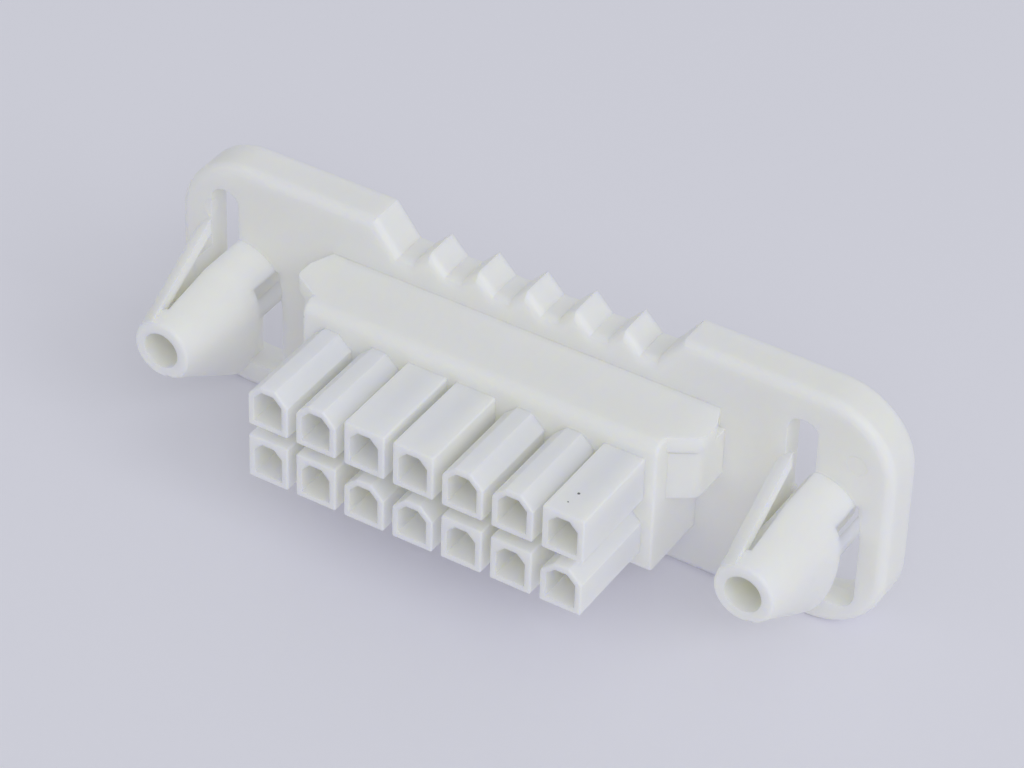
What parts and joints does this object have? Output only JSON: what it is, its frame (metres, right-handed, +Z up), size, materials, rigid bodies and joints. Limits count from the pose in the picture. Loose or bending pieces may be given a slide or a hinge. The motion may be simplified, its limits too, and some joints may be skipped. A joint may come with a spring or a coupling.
{
  "type": "socket header",
  "caption": "Panel-mount socket housing with two rows of square contact silos on a collar, a notched oblong flange and a tapered snap post at each end, moulded in one piece.",
  "frame": {"origin": "middle of the flange's front face, where the panel seats, on the centre line of the two rows", "axes": "+X along the rows to the right as seen from the mating side, -Y out of the mating side, +Z up towards the notched edge"},
  "size_m": [0.0618, 0.0183, 0.0206],
  "materials": {
    "nylon": "natural white moulded nylon, satin, slightly translucent"
  },
  "bodies": {
    "root": {"housing": "nylon"}
  },
  "joints": []
}
